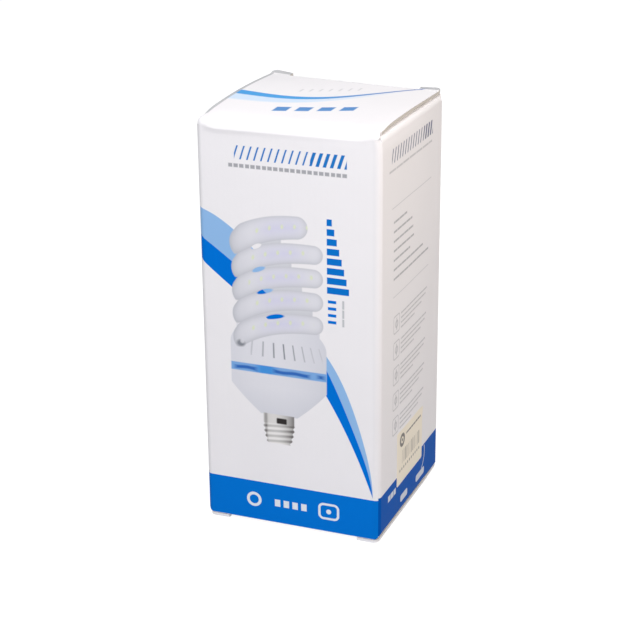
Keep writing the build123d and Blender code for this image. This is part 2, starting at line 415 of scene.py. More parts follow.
# Rounded corner at the right end of the lid's fold, over the upright corner: x = 43 + 3 cos b cos f,
# y = -42.5 + 3.5 cos b sin f, z = 202.5 + 3.5 sin b, with f from -90 to 0 degrees and b from its least value,
# which grows towards the side, to 90.
def lidCorner(lid, finish):
    f = np.radians([-90.0, -81.0, -72.0, -62.0, -52.0, -42.0, -32.0, -22.0, -12.0, 0.0])
    least = np.interp(np.degrees(f), [-90.0, -81.0, -45.0, -12.0], [0.0, 3.5, 3.5, lid["edgeTurn"]])
    b = np.radians(least + np.linspace(0.0, 1.0, board["foldSteps"] + 3)[:, None] * (90.0 - least))
    flat, centre, base, radius = board["flat"], board["foldCentre"], board["hingeFold"], board["foldRadius"]
    x, y = flat + board["cornerRadius"] * np.cos(b) * np.cos(f), -centre + radius * np.cos(b) * np.sin(f)
    return makeGrid(x, y, base + radius * np.sin(b), np.cos(b) * np.cos(f), np.cos(b) * np.sin(f), np.sin(b),
                    board["frontMiddle"] + x, base + radius * b, finish)


# Fall of the flat's side edge, which continues that corner: 3.5 (1 - sqrt(1 - (w/3)^2)), less further back.
def edgeFall(x, y):
    w = np.maximum(np.abs(x) - board["flat"], 0.0) / board["cornerRadius"]
    return board["foldRadius"] * (1.0 - np.sqrt(1.0 - w ** 2)) * (1.0 - ease(y, -board["foldCentre"], -27.0))


# Half width of the tuck flap at a distance from its root: both ends of it are quarter rounds.
def tuckHalfWidth(w, lid):
    near, far = lid["shoulderRadius"], lid["tipRadius"]
    shoulder = roundAt(near - np.minimum(w, near), near) - near
    tip = roundAt(np.maximum(w - lid["tuckLength"] + far, 0.0), far) - far
    return lid["tuckHalf"] + np.minimum(shoulder, tip)


# The lid at the top is bowed by its share; the one underneath is pressed flat by the floor, with share 0.
def lidGrids(lid, finish, bowed):
    radius, centre, flat = board["foldRadius"], board["foldCentre"], board["flat"]
    turn = np.radians(np.linspace(90.0, lid["edgeTurn"], board["foldSteps"] + 3)[1:])
    rounded = flat + board["cornerRadius"] * np.cos(turn)
    ear = np.concatenate([np.linspace(lid["slitOuter"], flat, 5), rounded])
    stops = np.concatenate([-ear[::-1], np.linspace(-lid["slitInner"], lid["slitInner"], 29), ear])
    folded = stops[np.abs(stops) <= flat + 0.001]
    angle = np.linspace(math.pi, math.pi / 2, board["foldSteps"] + 3)[:, None]
    along = board["hingeFold"] + radius * (math.pi - angle)
    out = radius + creaseBead(folded, along) * bowed
    corner = lidCorner(lid, finish)
    front = board["frontMiddle"]
    grids = [makeGrid(folded, -centre + out * np.cos(angle), board["hingeFold"] + out * np.sin(angle),
                      0.0, np.cos(angle), np.sin(angle), front + folded, along, finish),
             corner, mirrored(corner)]
    flatAlong = board["hingeFold"] + radius * math.pi / 2
    y = np.linspace(-centre, lid["tuckCentre"][0], 34)[:, None]
    grids.append(makeGrid(stops, y, board["height"] + lidLift(stops, y) * bowed - edgeFall(stops, y),
                          0.0, 0.0, 1.0, front + stops, flatAlong + y + centre, finish))
    root, rootHeight = lid["tuckCentre"]
    tuckStart = flatAlong + root + centre

    # fold into the tuck flap, then the flap itself
    reach, lean = lid["tuckRadius"], math.radians(lid["lean"])
    turn = np.linspace(math.pi / 2, -lean, 12)[:, None]
    inner = stops[np.abs(stops) <= lid["slitInner"]]
    w = np.concatenate([[0.01], 2.0 - 2.0 * np.cos(np.linspace(0.2, 1.0, 6) * math.pi / 2), [3.5, 5.0],
                        6.0 + 12.0 * np.sin(np.linspace(0.0, 1.0, 10) * math.pi / 2)])[:, None]
    ny, nz = rowsOf(1, np.cos(turn), np.cos(lean + 0 * w)), rowsOf(1, np.sin(turn), -np.sin(lean + 0 * w))
    lift = lidLift(inner, np.array([[root]])) * bowed
    x = rowsOf(len(inner), inner + 0.0 * turn, inner / lid["slitInner"] * tuckHalfWidth(w, lid))
    y = root + reach * ny - rowsOf(1, 0.0 * turn, w * math.sin(lean))
    z = rootHeight + reach * nz + rowsOf(len(inner), 0.0 * turn + lift, -w * math.cos(lean))
    v = rowsOf(1, reach * (math.pi / 2 - turn), reach * (math.pi / 2 + lean) + w)
    grids.append(makeGrid(x, y, z, 0.0, ny, nz, front + x, tuckStart + v, finish))

    # ears, with their outer corner rounded
    end, radius = lid["earEnd"], lid["earRadius"]
    turn = np.sin(np.linspace(0.2, 1.0, 6) * math.pi / 2)
    y = np.concatenate([[root, root + 1.5, end - radius], end - radius + radius * turn])[:, None]
    reach = lid["half"] - radius + roundAt(np.maximum(y - end + radius, 0.0), radius)
    for side in (-1, 1):
        part = stops[(stops * side) > lid["slitInner"] + 0.1]
        share = (np.abs(part) - lid["slitOuter"]) / (lid["half"] - lid["slitOuter"])
        x = side * (lid["slitOuter"] + share * (reach - lid["slitOuter"]))
        rise = lid["earRise"][0 if side < 0 else 1] * ease(y, root - 1.0, end) * (0.1 + 0.9 * share)
        z = board["height"] + (lidLift(x, np.array([[root]])) + rise) * bowed
        grids.append(makeGrid(x, y, z, 0.0, 0.0, 1.0, front + x, tuckStart + y - root, finish))
    return grids


# A value in a material: shader maths written as Python expressions, one node for each operation.
class Wire:
    def __init__(self, recipe, socket):
        self.recipe, self.socket = recipe, socket

    def math(self, operation, *others, clamp=False):
        inputs = {0: self, **{i + 1: other for i, other in enumerate(others)}}
        return self.recipe.node("ShaderNodeMath", {"operation": operation, "use_clamp": clamp}, inputs)

    __add__ = __radd__ = partialmethod(math, "ADD")
    __sub__ = partialmethod(math, "SUBTRACT")
    __mul__ = __rmul__ = partialmethod(math, "MULTIPLY")
    __neg__ = partialmethod(math, "MULTIPLY", -1.0)
    __truediv__ = partialmethod(math, "DIVIDE")
    __mod__ = partialmethod(math, "FLOORED_MODULO")
    least = partialmethod(math, "MINIMUM")
    most = partialmethod(math, "MAXIMUM")
    size = partialmethod(math, "ABSOLUTE")
    whole = partialmethod(math, "FLOOR")
    sine = partialmethod(math, "SINE")
    scaled = partialmethod(math, "MULTIPLY_ADD")     # times a factor, plus a shift

    def __rsub__(self, other):
        return -self + other

    def held(self, low, high):
        return self.most(low).least(high)

    # How far it is beyond a span, which is given by its middle and half width, or by its two ends.
    def beyond(self, middle, half):
        return (self - middle).size() - half

    def past(self, low, high):
        return (low - self).most(self - high)

    # One inside a form and zero outside it, soft over that many millimetres.
    def inside(self, soft=0.22):
        return self.math("MULTIPLY_ADD", -1.0 / soft, 0.5, clamp=True)


# The nodes of a material, or of the room.
class Recipe:
    def __init__(self, holder):
        holder.use_nodes = True
        self.holder, self.tree = holder, holder.node_tree
        self.tree.nodes.clear()

    # One node of any kind: settings first, then its sockets' values or links; the answer is one output.
    def node(self, kind, settings=None, inputs=None, output=0):
        made = self.tree.nodes.new(kind)
        for name, value in (settings or {}).items():
            setattr(made, name, value)
        for name, value in (inputs or {}).items():
            if isinstance(value, Wire):
                self.tree.links.new(value.socket, made.inputs[name])
            else:
                made.inputs[name].default_value = value
        return Wire(self, made.outputs[output])

    def layer(self, base, colour, mask):
        return self.node("ShaderNodeMix", {"data_type": "RGBA"}, {0: mask, 6: base, 7: colour}, 2)

    # Lays a colour over another inside a form, which is given by the distance to its edge.
    def paint(self, base, colour, form, soft=0.22, share=1.0):
        return self.layer(base, colour, form.inside(soft) * share)

    def scale(self, colour, tone):
        return self.node("ShaderNodeVectorMath", {"operation": "SCALE"}, {0: colour, "Scale": tone})

    def noise(self, vector, scale, detail=2.0, rough=0.5):
        return self.node("ShaderNodeTexNoise", {},
                         {"Vector": vector, "Scale": scale, "Detail": detail, "Roughness": rough})

    def split(self, vector):
        made = self.node("ShaderNodeSeparateXYZ", {}, {0: vector})
        return [Wire(self, made.socket.node.outputs[i]) for i in range(3)]

    # Places on the sheet in millimetres: across the panel from its left edge, and down from the top edge.
    def panelPlace(self):
        sheet = self.node("ShaderNodeUVMap", {"uv_map": "sheet"})
        u, v = self.split(sheet)[:2]
        width = board["printWidth"]
        top = board["height"] + board["sheetShift"]
        return (u * (1000.0 * width / board["pitch"])) % width, v.scaled(-1000.0, top), sheet

    # Distance to the edge of a box, whose corners may be rounded; it is below zero inside.
    def box(self, x, t, left, right, top, bottom, radius=0.0):
        dx = (x - (left + right) / 2).size() - ((right - left) / 2 - radius)
        dt = (t - (top + bottom) / 2).size() - ((bottom - top) / 2 - radius)
        if radius <= 0:
            return dx.most(dt)
        return self.far(dx.most(0.0), dt.most(0.0)) - radius

    def far(self, a, b):
        return (a * a + b * b).math("SQRT")

    def disc(self, x, t, cx, ct, radius):
        return self.far(x - cx, t - ct) - radius

    # Board or paper: slow patches and fine fibres vary its tone, its roughness and its bumps.
    def paperSurface(self, colour, paper, bumps=()):
        place = self.node("ShaderNodeTexCoord", {}, {}, 3)
        cloud, fibre = self.noise(place, paper["patches"], 3.0, 0.55), self.noise(place, *paper["fibres"])
        patchTone, fibreTone = paper["tone"]
        toned = self.scale(colour, (cloud - 0.5).scaled(patchTone, 1.0) + (fibre - 0.5) * fibreTone)
        factor, start, fibreRough = paper["roughness"]
        roughness = cloud.scaled(factor, start) + (fibre - 0.5) * fibreRough
        normal = None
        for height, strength, depth in [*bumps, (cloud, *paper["patchBump"]), (fibre, *paper["fibreBump"])]:
            inputs = {"Height": height, "Strength": strength, "Distance": depth}
            if normal is not None:
                inputs["Normal"] = normal
            normal = self.node("ShaderNodeBump", {}, inputs)
        self.output(self.node("ShaderNodeBsdfPrincipled", {}, {
            "Base Color": toned, "Roughness": roughness, "Normal": normal,
            "Specular IOR Level": paper["shine"]}))
        return self.holder

    def output(self, surface, kind="ShaderNodeOutputMaterial"):
        last = self.tree.nodes.new(kind)
        self.tree.links.new(surface.socket, last.inputs[0])


def newMaterial(name):
    return Recipe(bpy.data.materials.new(name))


# A colour as it looks on screen, 0 to 255, given to a shader as linear light.
def tint(red, green, blue):
    linear = [((c / 255 + 0.055) / 1.055) ** 2.4 if c > 10 else c / 255 / 12.92 for c in (red, green, blue)]
    return (*linear, 1.0)


# Curve that fits the points best: a polynomial of k = x / 50, worked out by Horner's rule.
def fittedCurve(x, points, degree):
    places, values = np.array(points, float).T
    factors = np.polyfit(places / 50.0, values, degree)
    k = x * 0.02
    total = k.scaled(float(factors[0]), float(factors[1]))
    for factor in factors[2:]:
        total = total.math("MULTIPLY_ADD", k, float(factor))
    return total


inks = {
    "white": tint(243, 242, 245),
    "edge": tint(206, 202, 196),
    "inside": tint(226, 222, 214),
    "blue": tint(0, 116, 218),
    "bandBlue": tint(2, 118, 216),
    "paleBlue": tint(147, 190, 236),
    "grey": tint(158, 160, 166),
    "greyPale": tint(196, 198, 203),
    "strokeBlue": tint(36, 120, 198),
    "barBlue": tint(12, 116, 206),
    "slate": tint(72, 80, 122),
    "sideBlue": tint(0, 87, 180),
}


# Patches: noise scale. Fibres: noise scale, detail and roughness. Tone: how much each varies the colour.
# Roughness: from the patches, as a factor and a start, and from the fibres. Bumps: strength and depth in m.
uncoated = {"patches": 26.0, "fibres": (900.0, 3.0, 0.65), "patchBump": (0.4, 0.0004),
            "fibreBump": (0.5, 0.00006), "shine": 0.25}
papers = {
    "printed": {"patches": 22.0, "fibres": (1500.0, 2.0, 0.6), "tone": (0.05, 0.02),
                "roughness": (0.16, 0.40, 0.06), "patchBump": (0.5, 0.0004),
                "fibreBump": (0.35, 0.00003), "shine": 0.02},
    "plain": {**uncoated, "tone": (0.06, 0.03), "roughness": (0.12, 0.44, 0.0)},
    "inside": {**uncoated, "tone": (0.06, 0.10), "roughness": (0.12, 0.69, 0.0)},
    "edge": {**uncoated, "tone": (0.06, 0.12), "roughness": (0.12, 0.74, 0.0)},
    "sticker": {"patches": 60.0, "fibres": (1400.0, 2.0, 0.6), "tone": (0.08, 0.03),
                "roughness": (0.15, 0.55, 0.0), "patchBump": (0.0, 0.0004), "fibreBump": (0.4, 0.00003),
                "shine": 0.3},
    "ribPitch": 0.0031,       # the board's ribs show faintly through the printed face
    "ribBump": (0.25, 0.00002),
}


# Painted shade along a panel's two upright folds: the print is made a little darker beside each.
# Each side has the place where the darker line ends, its softness and its depth.
def foldShade(recipe, x, colour, left, right):
    tone = 1.0
    for place, (end, soft, depth) in ((x, left), (board["printWidth"] - x, right)):
        tone = tone - (place - end).inside(soft) * depth
    return recipe.scale(colour, tone)


def finishPrinted(recipe, sheet, colour):
    ribs = (recipe.split(sheet)[0] * (2 * math.pi / papers["ribPitch"])).sine()
    return recipe.paperSurface(colour, papers["printed"], [(ribs, *papers["ribBump"])])


# Print on the front and back panels.
frontPrint = {
    "across": (1.0217, -1.49),         # the print's own millimetres from places on the panel
    "down": (1.0048, 0.2),
    # painted shade beside the left and right upright folds
    "shadeLeft": (1.4, 2.6, 0.10),       # where the darker line beside each fold ends, its softness and depth
    "shadeRight": (3.0, 2.6, 0.06),
    "strokes": {"place": (18.0, 74.0, 11.5, 18.5), "slant": 0.32, "pitch": 3.5, "half": 0.42,
                "boldFrom": 56.0, "bolder": 0.42, "ink": inks["strokeBlue"], "soft": 0.3, "share": 1.0},
    "greyBar": (14.5, 74.0, 19.6, 23.6),
    "levels": (43.0, 4.75, 80.5),      # top of the first level bar, from one to the next, end of the column
    "band": {"top": 184.0, "bottom": 205.2, "ink": inks["bandBlue"], "marks": tint(232, 238, 245),
             "soft": 0.22, "share": 1.0},
    "leftUpper": [(0, 44), (8, 47.8), (17, 53), (30, 65), (45, 82), (63, 106)],
    "leftMiddle": [(0, 58.5), (8, 63.5), (16, 70), (30, 80), (40, 90), (63, 118)],
    "leftLower": [(0, 70.5), (8, 76.5), (17, 84), (31, 94), (40, 102), (63, 126)],
    "rightUpper": [(105, 58.0), (112, 63.8), (120, 69.0), (136, 76.2), (154, 82.2), (170, 85.8), (183, 87.0)],
    "rightMiddle": [(105, 55.0), (118.5, 63.4), (128, 68.0), (146, 76.0), (162, 82.0), (175, 86.0),
                    (183, 87.0)],
    "rightLower": [(120, 55.5), (133, 63.6), (142, 69.0), (156, 76.0), (170, 82.0), (178, 85.4), (183, 87.0)],
}


# One long sweep in two blues: it falls from the left edge and, behind the lamp, runs out low on the right.
def sweepLayers(recipe, x, t, colour, ink):
    onLeft = (x - 45.0).inside(0.3)
    parts = ("Upper", "Middle", "Lower")
    upper, middle, lower = [fittedCurve(x, ink["left" + part], 3) for part in parts]
    leftPale = (upper - t).most(t - middle).inside(0.3) * onLeft
    leftDark = (middle - t).most(t - lower).inside(0.3) * onLeft
    down = t.held(104.0, 186.0)
    outer, between, inner = [fittedCurve(down, ink["right" + part], 4) for part in parts]
    span = t.past(104.0, 183.0).inside(0.3) * (1.0 - onLeft)
    rightPale = (between - x).most(x - outer).inside(0.25) * span
    rightDark = (inner - x).most(x - between).inside(0.25) * span
    colour = recipe.layer(colour, inks["paleBlue"], leftPale.most(rightPale))
    return recipe.layer(colour, inks["blue"], leftDark.most(rightDark))


# A picture of a spiral lamp, cap down, from simple forms. Its five turns follow
# t = start + pitch n + droop q^3, with n the number of the turn and q growing from 0 at the right end to 1.
lampPicture = {
    "start": 49.65,
    "pitch": 11.75,
    "droop": 10.5,
    "lastDroop": 0.01,
    "radius": (4.5, 1.3),
    "right": (57.5, -8.4),             # right end of a turn, and how much shorter the first one is
    "left": 21.0,
    "housing": (38.6, 24.9, 100.6, 146.3),     # middle, half width, top and bottom
    "base": (38.4, 8.1, 145.8, 161.4),
    "fall": (131.5, 15.0, 15.6),       # where the housing starts to narrow, over what length, by how much
    "rise": (110.0, 7.0, 3.4),         # the same towards its top
    "shine": (35.0, 27.0),             # where the housing is palest, and how far that reaches
    "slotHeight": (112.2, 3.9),        # middle and half height of the row of slots
    "slotEnds": (24.2, 61.4),
    "stripeHeight": (122.9, 2.1),
    "threadPitch": 2.7,
    "gap": (37.2, 42.6, 147.6, 150.6, 0.6),    # dark gap in the base: left, right, top, bottom, radius
    "glass": tint(226, 227, 234),
    "glassEdge": tint(197, 199, 207),
    "lilac": tint(214, 214, 237),
    "dot": tint(224, 233, 196),
    "behind": tint(213, 215, 222),
    "behindDark": tint(196, 198, 206),
    "shell": tint(228, 229, 236),
    "shellShade": tint(204, 207, 217),
    "slot": tint(128, 132, 141),
    "stripe": tint(126, 174, 228),
    "stripeBright": tint(72, 150, 226),
    "stripeDark": tint(40, 98, 186),
    "metal": tint(240, 239, 238),
    "metalShade": tint(118, 115, 114),
    "metalGap": tint(56, 53, 53),
}


def coilLayers(recipe, x, t, colour, lamp):
    q = x.scaled(-1.0 / 45.0, 62.0 / 45.0).held(0.0, 1.0)
    cube = q * q * q
    run = t - cube * lamp["droop"] - lamp["start"]
    turn = (run / lamp["pitch"] + 0.5).whole().held(0.0, 4.0)
    first, last = (turn - 0.5).inside(0.2), (3.5 - turn).inside(0.2)
    offset = run - turn * lamp["pitch"] + first * 0.9 - last * ((58.0 - x) * lamp["lastDroop"]).most(0.0)
    offset = offset * (1.0 - cube * 0.15)
    radius = q * lamp["radius"][1] + lamp["radius"][0] + first * 0.7
    reach = x - x.most(lamp["left"]).least(first * lamp["right"][1] + lamp["right"][0])
    tube = recipe.far(reach, offset) - radius

    # the turns behind, with a slit in each gap where the panel shows through
    gap = (run / lamp["pitch"]).whole().held(0.0, 3.0)
    behind = (19.0 - x).most(x - (gap * 5.2 + 41.0)).most(-run).most(run - 47.0)
    slitMiddle = gap * gap + 28.3
    slitDrop = run - gap * lamp["pitch"] - 6.2 - (2.5 - gap).inside(0.2) * 1.8
    slit = (recipe.far((x - slitMiddle) / (gap * 0.75 + 2.7), slitDrop / 1.25) - 1.0).inside(0.3)
    dark = (run % lamp["pitch"]).scaled(0.2, -1.1).held(0.0, 1.0)
    shade = recipe.layer(lamp["behind"], lamp["behindDark"], dark)
    colour = recipe.paint(colour, shade, behind, 0.6, 1.0 - slit)

    # the turns in front: greyer towards the rim, lilac along the middle, with a row of pale dots
    deep = (tube / radius + 1.0).most(0.0)
    endTone = ((25.0 - x) * 0.04).held(0.0, 0.3)
    tone = (deep * deep * deep * 0.85 + offset / radius * 0.10 + endTone).held(0.0, 1.0)
    glass = recipe.layer(lamp["glass"], lamp["glassEdge"], tone)
    lilac = x.beyond(41.0, 10.0).inside(9.0) * (1.0 - deep).held(0.0, 1.0)
    glass = recipe.layer(glass, lamp["lilac"], lilac * 0.8)
    column = (x + turn * 2.3) % 6.4 - 3.2
    dots = recipe.far(column / 0.7, (offset + 0.5) / 1.0) - 1.0
    dots = dots.most(x.past(24.0, 57.0))
    glass = recipe.paint(glass, lamp["dot"], dots, 0.9, 0.85)
    return recipe.paint(colour, glass, tube, 0.5, 1.0 - slit)


def housingLayers(recipe, x, t, colour, lamp):
    middle, half, top, bottom = lamp["housing"]
    start, length, narrowing = lamp["fall"]
    fall = ((t - start) / length).held(0.0, 1.0)
    topStart, topLength, topNarrowing = lamp["rise"]
    rise = ((topStart - t) / topLength).held(0.0, 1.0)
    width = half - (fall * 0.2 + 0.8) * fall * narrowing - rise * rise * topNarrowing
    body = x.beyond(middle, width).most(t.past(top, bottom))
    lean = (x - lamp["shine"][0]) / lamp["shine"][1]
    tone = (lean * lean * 0.5 + fall * 0.45).held(0.0, 1.0)
    colour = recipe.paint(colour, recipe.layer(lamp["shell"], lamp["shellShade"], tone), body, 0.5)
    fan = x + (114.0 - t) * (x - lamp["shine"][0]) * 0.012 - 24.6
    place = fan * (fan * 0.00083 + 0.16)
    slot = ((place + 0.5) % 1.0 - 0.5).size() - 0.07
    slot = (slot * 6.0).most(t.beyond(*lamp["slotHeight"])).most(x.past(*lamp["slotEnds"]))
    faint = 1.0 - ((x - 40.0).size() * 0.045).held(0.0, 0.8)
    colour = recipe.paint(colour, lamp["slot"], slot, 0.5, body.inside() * faint)
    stripe = t.beyond(*lamp["stripeHeight"]).inside(0.5) * body.inside(0.4)
    bright = x.beyond(32.0, 5.0).inside(5.0)
    colour = recipe.layer(colour, recipe.layer(lamp["stripe"], lamp["stripeBright"], bright), stripe)
    patches = x.beyond(21.4, 5.6).least(x.beyond(45.4, 9.2)).least(x.beyond(60.6, 1.5))
    wave = (x * 0.5).sine() * 0.2
    patch = (patches * 0.3).most((t - 123.1 - wave).size() - 0.85)
    return recipe.paint(colour, lamp["stripeDark"], patch, 0.8, body.inside() * 0.9)


def screwBaseLayers(recipe, x, t, colour, lamp):
    down = ((t - 149.0) / 13.0).held(0.0, 1.0)
    ridge = (t * (2 * math.pi / lamp["threadPitch"]) + (x - 38.5) * 0.22).sine() * (t - 150.5).held(0.0, 1.0)
    middle, half, top, bottom = lamp["base"]
    width = half - down * down * 2.4 + ridge * 0.35
    body = x.beyond(middle, width).most(t.past(top, bottom))
    across = (x - 35.8) / 8.0
    streak = ((x - 31.6).size() * -0.4 + 0.5).held(0.0, 0.5)
    tone = (across * across * 0.45 + ridge * 0.25 + 0.18 + streak).held(0.0, 1.0)
    colour = recipe.paint(colour, recipe.layer(lamp["metal"], lamp["metalShade"], tone), body, 0.5)
    return recipe.paint(colour, lamp["metalGap"], recipe.box(x, t, *lamp["gap"]), 0.6)


# The first turn's end, a small dark socket at the lower left, and the whole lamp over the sweep.
def lampLayers(recipe, x, t, colour, lamp):
    colour = housingLayers(recipe, x, t, colour, lamp)
    colour = coilLayers(recipe, x, t, colour, lamp)
    socket = recipe.far((x - 19.2) / 1.25, t - 110.6) - 1.7
    colour = recipe.paint(colour, lamp["slot"], socket, 1.2, 0.9)
    colour = recipe.paint(colour, lamp["glass"], recipe.disc(x, t, 20.0, 109.5, 1.1), 0.9, 0.8)
    return screwBaseLayers(recipe, x, t, colour, lamp)


# A row of slanted strokes, bolder from one place on: each is where the slanted place, divided by the pitch,
# leaves about half a pitch.
def strokeRow(recipe, x, t, colour, row):
    left, top = row["place"][0], row["place"][2]
    slant = x + (t - top) * row["slant"]
    bold = (row["boldFrom"] - x).inside(0.2)
    stroke = ((slant - left) % row["pitch"] - row["pitch"] / 2).size() - (bold * row["bolder"] + row["half"])
    strokes = recipe.box(x, t, *row["place"]).most(stroke)
    return recipe.paint(colour, row["ink"], strokes, row["soft"], row["share"])


# The blue band round the foot, with its pale marks.
def bandLayers(recipe, t, colour, band, marks):
    colour = recipe.paint(colour, band["ink"], t.past(band["top"], band["bottom"]))
    return recipe.paint(colour, band["marks"], marks, band["soft"], band["share"])


def makeFrontPrint(ink):
    recipe = newMaterial("printed_front_board")
    x, t, sheet = recipe.panelPlace()
    place, x, t = x, x.scaled(*ink["across"]), t.scaled(*ink["down"])
    colour = sweepLayers(recipe, x, t, inks["white"], ink)
    colour = lampLayers(recipe, x, t, colour, lampPicture)

    # slanted blue strokes, the last third bolder, and under them a thin broken grey bar
    colour = strokeRow(recipe, x, t, colour, ink["strokes"])
    left, right, top, bottom = ink["greyBar"]
    dash = (x - left) % 8.55
    gaps = (0.5 - dash).most(((x - left) % 2.85 - 1.4).size() - 1.1)
    greyBar = recipe.box(x, t, left, right, top + 1.1, bottom - 1.1).most(gaps)
    colour = recipe.paint(colour, inks["grey"], greyBar, 0.4, 0.9)

    # column of level bars, each wider than the one above
    first, pitch, end = ink["levels"]
    number = ((t - first) / pitch).whole()
    level = (t - first - number * pitch - 1.65).size() - 1.65
    level = level.most(64.0 - x).most(x - (66.6 + number * 1.2)).most(t.past(first, end))
    colour = recipe.paint(colour, inks["barBlue"], level)
    ticks = ((t - 82.5) % 3.4 - 1.1).size() - 0.75
    small = recipe.box(x, t, 64.4, 68.6, 82.2, 95.4).most(ticks)
    colour = recipe.paint(colour, inks["blue"], small)
    thin = recipe.box(x, t, 71.6, 72.6, 82.0, 95.5).most(0.4 - ((t - 82.0) % 4.6).size())
    colour = recipe.paint(colour, inks["greyPale"], thin)

    # blue band with a ring, four squares and a framed dot
    ring = recipe.disc(x, t, 24.2, 194.2, 3.2).size() - 0.75
    squareX = ((x - 35.0) % 4.7 - 1.85).size() - 1.45
    squares = squareX.most(t.beyond(194.3, 1.9)).most(x.past(35.0, 53.2))
    frameMark = recipe.box(x, t, 59.2, 69.0, 190.4, 198.2, 2.2).size() - 0.6
    dot = recipe.disc(x, t, 64.1, 194.3, 1.3)
    marks = ring.least(squares).least(frameMark).least(dot)
    colour = bandLayers(recipe, t, colour, ink["band"], marks)
    return finishPrinted(recipe, sheet, foldShade(recipe, place, colour, ink["shadeLeft"], ink["shadeRight"]))


# Print on the side panels.
sidePrint = {
    "strokes": {"place": (14.5, 73.5, 11.2, 18.0), "slant": 0.32, "pitch": 3.7, "half": 0.5,
                "boldFrom": 60.0, "bolder": 0.45, "ink": inks["slate"], "soft": 0.5, "share": 0.9},
    "greyBar": (10.5, 72.5, 19.6, 23.4),
    "lines": (44.65, 4.68),            # top of the first line, and from one to the next
    "lineEnds": [36.0, 43.5, 45.0, 46.0, 40.5, 60.0, 68.5],
    "rows": (93.6, 13.35, 2.45),       # the same for the rows with a sign, and from line to line in them
    "band": {"top": 181.8, "bottom": 202.5, "ink": inks["sideBlue"], "marks": tint(226, 232, 240),
             "soft": 0.3, "share": 0.9},
    # painted shade beside the left and right upright folds, as on the front
    "shadeLeft": (0.9, 1.8, 0.08),
    "shadeRight": (1.0, 1.8, 0.08),
}


def makeSidePrint(ink):
    recipe = newMaterial("printed_side_board")
    x, t, sheet = recipe.panelPlace()
    colour = strokeRow(recipe, x, t, inks["white"], ink["strokes"])
    left, right, top, bottom = ink["greyBar"]
    gaps = 0.6 - ((x - left) % 9.4).size()
    greyBar = recipe.box(x, t, left, right, top + 1.3, bottom - 1.5).most(gaps)
    colour = recipe.paint(colour, inks["grey"], greyBar, 0.5, 0.5)

    # two rules, and seven short grey lines between them
    rules = recipe.box(x, t, 15.0, 72.0, 39.5, 39.9).least(recipe.box(x, t, 17.0, 69.0, 83.8, 84.2))
    colour = recipe.paint(colour, inks["greyPale"], rules, 0.3, 0.7)
    first, pitch = ink["lines"]
    number = ((t - first) / pitch).held(0.0, 6.999).whole()
    ends = ink["lineEnds"][0]
    for i, (before, after) in enumerate(zip(ink["lineEnds"], ink["lineEnds"][1:])):
        ends = number.math("GREATER_THAN", i + 0.5) * (after - before) + ends
    gap = 0.35 - ((x + number * 3.1) % 6.3).size()
    line = ((t - first - number * pitch - pitch / 2).size() - 0.5).most(17.5 - x).most(x - ends).most(gap)
    colour = recipe.paint(colour, inks["grey"], line, 0.5, 0.75)

    # five rows with an outlined sign and four thin lines each, the lower ones shorter
    first, pitch, linePitch = ink["rows"]
    number = ((t - first) / pitch).held(0.0, 4.999).whole()
    inRow = t - first - number * pitch
    outline = recipe.box(x, inRow, 18.2, 26.2, 0.8, 9.4, 1.2).size() - 0.28
    sign = recipe.disc(x, inRow, 22.2, 5.1, 1.6).size() - 0.45
    sign = sign.least(recipe.box(x, inRow, 21.8, 22.7, 2.0, 8.2))
    lineNumber = ((inRow - 0.5) / linePitch).held(0.0, 3.999).whole()
    inLine = inRow - 0.5 - lineNumber * linePitch
    length = 67.5 - lineNumber * lineNumber * 2.1 - number * 0.8
    gap = 0.3 - ((x + number * 1.7 + lineNumber * 2.9) % 5.1).size()
    line = inLine.beyond(1.2, 0.42).most(28.2 - x).most(x - length).most(gap)
    colour = recipe.paint(colour, inks["grey"], outline.least(sign).least(line), 0.5, 0.55)

    # blue band with three white marks and a thin curve
    dashes = recipe.box(x, t, 12.0, 23.6, 186.4, 189.6).most(0.5 - ((x - 12.0) % 4.0).size())
    short, long = [recipe.box(x, t, *ends, 194.6, 198.4, 1.4) for ends in ((30.8, 41.4), (54.6, 68.0))]
    curve = (recipe.disc(x, t, 58.5, 186.0, 9.6).size() - 0.4).most(63.4 - x).most(182.4 - t)
    marks = dashes.least(short).least(long).least(curve)
    colour = bandLayers(recipe, t, colour, ink["band"], marks)
    return finishPrinted(recipe, sheet, foldShade(recipe, x, colour, ink["shadeLeft"], ink["shadeRight"]))


# Print on the lid.
lidPrint = {
    "stroke": [(0, 46.6), (8.5, 47.2), (19, 47.9), (28.7, 46.0), (37.5, 42.6), (47, 36.4), (57.4, 28.5),
               (64.5, 20.6), (72, 12.9), (79.5, 5.2)],
    "strokeHalf": (3.5, 1.0),
    "strokeTint": tint(80, 164, 230),
    "strokeFar": tint(128, 146, 196),
    "under": tint(208, 229, 250),
    "blockTint": tint(78, 140, 204),
    # painted shade along the lid's cut edges
    "rim": tint(184, 186, 189),
}


